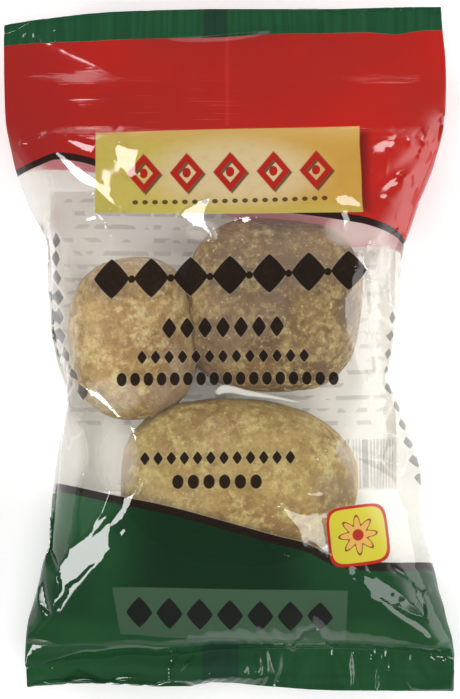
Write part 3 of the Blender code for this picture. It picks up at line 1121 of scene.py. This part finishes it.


# Painted glare: whitish places painted on the clear film where it mirrors the lamps: x, y, half width, half height,
# amount
PAINTED_GLARE = (
    (28, 200, 30, 44, 0.70), (64, 452, 26, 44, 0.64), (116, 458, 24, 40, 0.36), (358, 231, 36, 20, 0.42),
    (202, 231, 18, 12, 0.30), (384, 330, 26, 100, 0.36), (396, 520, 34, 48, 0.30), (352, 330, 14, 60, 0.07),
    (80, 250, 40, 30, 0.14), (112, 394, 34, 20, 0.24), (150, 262, 46, 14, 0.16),
)


def painted_glare_share(x, y):
    """The share of painted glare at each place, with painted glints along crinkled streaks beside the lumps."""
    clear = np.ones(x.shape)
    for cx, cy, wide, tall, amount in PAINTED_GLARE:
        near = np.clip(1 - ((x - cx) / wide) ** 2 - ((y - cy) / tall) ** 2, 0, 1)
        clear *= 1 - amount * near * (2 - near)
    at = np.stack([x / 100, y / 100 * 0.42, np.zeros_like(x)], -1)
    ridge = np.clip(1 - np.abs(layered_noise(at, 0.16, 90, 2) - 0.5) / 0.055, 0, 1)
    beside = np.clip((x - 356) / 12, 0, 1) * np.clip((y - 236) / 20, 0, 1) * np.clip((520 - y) / 60, 0, 1)
    beside += np.clip((88 - x) / 10, 0, 1) * np.clip((y - 330) / 20, 0, 1) * np.clip((480 - y) / 30, 0, 1)
    return 1 - clear * (1 - 0.40 * ridge * beside)


def build_film(P):
    """Front and back faces of the film, and the lap seam down the back."""
    rows, ring = P.shape[1:]
    half = ring // 2
    out = outward(P)
    P = P + out * 0.00010
    P[2] = np.maximum(P[2], 0.00045)

    art, flat, columns = print_places(P, True)
    art[:, 2] = lamp_share(art[:, 0] * 100, art[:, 1] * 100)
    stretched = art * (1.0, 1.5, 0.0)
    tone = np.stack([
        layered_noise(art * (1, 1.3, 0), 0.83, 61, 3), layered_noise(stretched, 0.75, 65, 3),
        painted_glare_share(art[:, 0] * 100, art[:, 1] * 100),
    ], -1)
    front = new_mesh(
        "film_front", P[:, :, columns].reshape(3, -1).T, grid_faces(rows, len(columns)),
        (("art", art), ("tone", tone)),
    )
    front.data.materials.append(front_paint())

    art, flat, columns = print_places(P, False)
    art = art.reshape(rows, len(columns), 3)[::2, ::2].reshape(-1, 3)
    places = P[:, ::2][:, :, columns[::2]]
    back = new_mesh(
        "film_back", places.reshape(3, -1).T, grid_faces(places.shape[1], places.shape[2]), (("art", art),)
    )
    back.data.materials.append(back_paint())

    across, _ = flat_places(P)
    lap = [i for i in range(half, ring) if -0.0107 < across[i] < -0.0010]
    below = (P + out * 0.00022)[:, :, lap]
    below[2] = np.maximum(below[2], 0.00018)
    x, y = plan_places(below)
    art = np.stack([x / 100, y / 100, np.zeros_like(x)], -1).reshape(-1, 3)
    seam = new_mesh("film_lap_seam", below.reshape(3, -1).T, grid_faces(rows, len(lap)), (("art", art),))
    seam.data.materials.append(back_paint("film_seam_print"))
    return [front, back, seam]


# Greyish patches on the lumps, partly scuffs and partly painted shade and film reflection where they touch each other:
# lump, x, y, reach (m)
SCUFFS_AND_SHADE = ((0, -0.0285, -0.0235, 0.013), (1, -0.0060, 0.0040, 0.011), (1, 0.0300, 0.0400, 0.012))


def build_lump(which, name, material):
    """One lump, with the broad shape the film rests on and a rough, pitted face."""
    cx, cy, a, b, c, turn, round_, side, _ = LUMPS[which]
    bm = bmesh.new()
    bmesh.ops.create_icosphere(bm, subdivisions=7, radius=1.0)
    mesh = bpy.data.meshes.new(name)
    bm.to_mesh(mesh)
    bm.free()
    way = np.empty(len(mesh.vertices) * 3, np.float32)
    mesh.vertices.foreach_get("co", way)
    way = way.reshape(-1, 3).astype(float)
    way /= np.linalg.norm(way, axis=1)[:, None]
    level = (np.abs(way[:, :2]) ** round_).sum(1) ** (1 / round_)
    reach = (level ** side + np.abs(way[:, 2]) ** side) ** (-1 / side)
    reach *= unevenness(which, way[:, 0], way[:, 1], way[:, 2])
    places = way * reach[:, None] * np.array([a, b, c])
    seed = 100 + 10 * which
    broad = layered_noise(places, 0.016, seed, 3)
    rough = layered_noise(places, 0.0052, seed + 3, 4, 0.6)
    pits = np.clip((layered_noise(places, 0.0036, seed + 7, 2) - 0.60) / 0.25, 0, 1)
    sink = 0.00025 + 0.0016 * np.clip(0.75 - broad, 0, 1) + 0.0011 * (1 - rough) + 0.0010 * pits
    places -= way * sink[:, None]
    tone = np.stack([
        layered_noise(places, 0.0150, seed + 20, 4, 0.6), layered_noise(places, 0.0062, seed + 24, 4, 0.6),
        layered_noise(places, 0.0240, seed + 28, 3, 0.55),
    ], -1)
    angle = math.radians(turn)
    x = places[:, 0] * math.cos(angle) - places[:, 1] * math.sin(angle) + cx
    y = places[:, 0] * math.sin(angle) + places[:, 1] * math.cos(angle) + cy
    # painted shade: greyish patches near where the lumps touch, along with scuffs
    for lump, sx, sy, reach in SCUFFS_AND_SHADE:
        if lump == which:
            tone[:, 2] += 0.34 * np.exp(-((x - sx) ** 2 + (y - sy) ** 2) / reach ** 2)
    # painted light and shade on the lower lump: darker towards the foot, lighter towards its left end, where the light
    # falls from
    if which == 2:
        tone[:, 0] -= 0.09 * np.clip((-0.046 - y) / 0.020, 0, 1)
        tone[:, 0] += 0.12 * np.clip((-0.014 - x) / 0.018, 0, 1)
    layer = mesh.attributes.new("tone", "FLOAT_VECTOR", "POINT")
    layer.data.foreach_set("vector", tone.astype(np.float32).ravel())
    z = np.maximum(places[:, 2] + c - SUNK, 0.0009)
    mesh.vertices.foreach_set("co", np.stack([x, y, z], -1).astype(np.float32).ravel())
    mesh.update()
    mesh.shade_smooth()
    mesh.materials.append(material)
    lump = bpy.data.objects.new(name, mesh)
    bpy.context.scene.collection.objects.link(lump)
    return lump


def build_lumps():
    golden = jaggery_paint(
        "jaggery_golden", linear(222, 204, 152), linear(202, 173, 115), linear(156, 120, 68), linear(150, 130, 118))
    brown = jaggery_paint(
        "jaggery_brown", linear(192, 170, 114), linear(149, 118, 69), linear(105, 77, 39), linear(129, 102, 78))
    tan = jaggery_paint(
        "jaggery_tan", linear(208, 191, 126), linear(186, 160, 96), linear(148, 114, 58), linear(148, 128, 100))
    return [
        build_lump(0, "lump_upper_left", golden),
        build_lump(1, "lump_upper_right", brown),
        build_lump(2, "lump_lower", tan),
    ]


# ------------------------------------------------------------------ floor, light, camera
def build_stage():
    scene = bpy.context.scene
    floor = new_mesh("floor", np.array([[-3, -3, 0], [3, -3, 0], [3, 3, 0], [-3, 3, 0]], float), np.array([[0, 1, 2, 3]]))
    p = Paint("floor_paper")
    coords = p.node("ShaderNodeTexCoord").outputs["Object"]
    tone = p.mix(p.noise(coords, 3, 2), (0.97, 0.97, 0.97, 1), (0.985, 0.985, 0.985, 1))
    # a light table: the paper glows a little
    floor.data.materials.append(p.finish(p.shader(
        "ShaderNodeBsdfPrincipled", Base_Color=tone, Roughness=0.9, Emission_Color=WHITE, Emission_Strength=0.13,
    )))

    world = bpy.data.worlds.new("studio")
    scene.world = world
    world.use_nodes = True
    sky = Paint.__new__(Paint)
    sky.tree = world.node_tree
    sky.tree.nodes.clear()
    parts = sky.node("ShaderNodeSeparateXYZ")
    sky.put(parts.inputs[0], sky.node("ShaderNodeTexCoord").outputs["Generated"])
    x, z = Value(sky, parts.outputs[0]), Value(sky, parts.outputs[2])
    right = sky.step(x, 0.42, 0.90) * sky.step(z, 0.72, 0.45)
    left = sky.step(x, -0.3, -0.9) * sky.step(z, 0.35, 0.05)
    strength = right * RIGHT_SCREEN + left * LEFT_SCREEN + ROOM
    back = sky.node("ShaderNodeBackground")
    sky.put(back.inputs["Strength"], strength)
    back.inputs["Color"].default_value = WHITE
    sky.put(sky.node("ShaderNodeOutputWorld").inputs["Surface"], back.outputs[0])

    for name, azimuth, elevation, wide, tall, radiance in SOFTBOXES:
        a, e = math.radians(azimuth), math.radians(elevation)
        place = Vector((math.cos(a) * math.cos(e), math.sin(a) * math.cos(e), math.sin(e))) * SOFTBOX_DISTANCE
        data = bpy.data.lights.new(name, "AREA")
        data.shape = "RECTANGLE"
        data.size = 2 * SOFTBOX_DISTANCE * math.tan(math.radians(wide))
        data.size_y = 2 * SOFTBOX_DISTANCE * math.tan(math.radians(tall))
        data.energy = radiance * math.pi * data.size * data.size_y
        lamp = bpy.data.objects.new(name, data)
        lamp.location = place
        lamp.rotation_euler = (-place).to_track_quat("-Z", "Y").to_euler()
        lamp.visible_camera = False
        scene.collection.objects.link(lamp)

    # an even fill from above, polarised so that the film doesn't mirror it
    data = bpy.data.lights.new("fill", "AREA")
    data.shape, data.size = "SQUARE", 1.6
    data.energy = FILL * math.pi * 1.6 * 1.6
    lamp = bpy.data.objects.new("fill", data)
    lamp.location = (0, 0, 2.0)
    lamp.visible_camera = lamp.visible_glossy = False
    scene.collection.objects.link(lamp)

    data = bpy.data.cameras.new("camera")
    data.lens, data.sensor_width, data.sensor_fit = 200, 36, "AUTO"
    data.clip_start, data.clip_end = 0.05, 20
    camera = bpy.data.objects.new("camera", data)
    # 36 mm of sensor takes in 699 units of 0.41 mm at the height of the bag's edges
    camera.location = EYE
    camera.rotation_euler = (0, 0, 0)
    scene.collection.objects.link(camera)
    scene.camera = camera
    scene.view_settings.view_transform = "Standard"


# Softboxes: name, azimuth from +X, elevation, half width and half height as seen from the
# bag in degrees, radiance
SOFTBOX_DISTANCE = 1.4
SOFTBOXES = (
    ("softbox_back_left", 128, 36, 7.0, 5.5, 13.0),
    ("softbox_front_left", -157, 34, 7.0, 6.0, 14.0),
    ("softbox_front_right", -48, 46, 8.0, 7.0, 4.4),
    ("softbox_back_right", 55, 37, 5.0, 4.2, 10.0),
)
RIGHT_SCREEN, LEFT_SCREEN, ROOM, FILL = 2.9, 0.5, 0.14, 2.4


def main():
    film = build_film(fold_film(drape(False)))
    lumps = build_lumps()
    for piece in film:
        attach(piece, "root")
        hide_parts("bag")
    for piece in lumps:
        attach(piece, "root")
        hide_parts("bag")
    build_stage()


main()
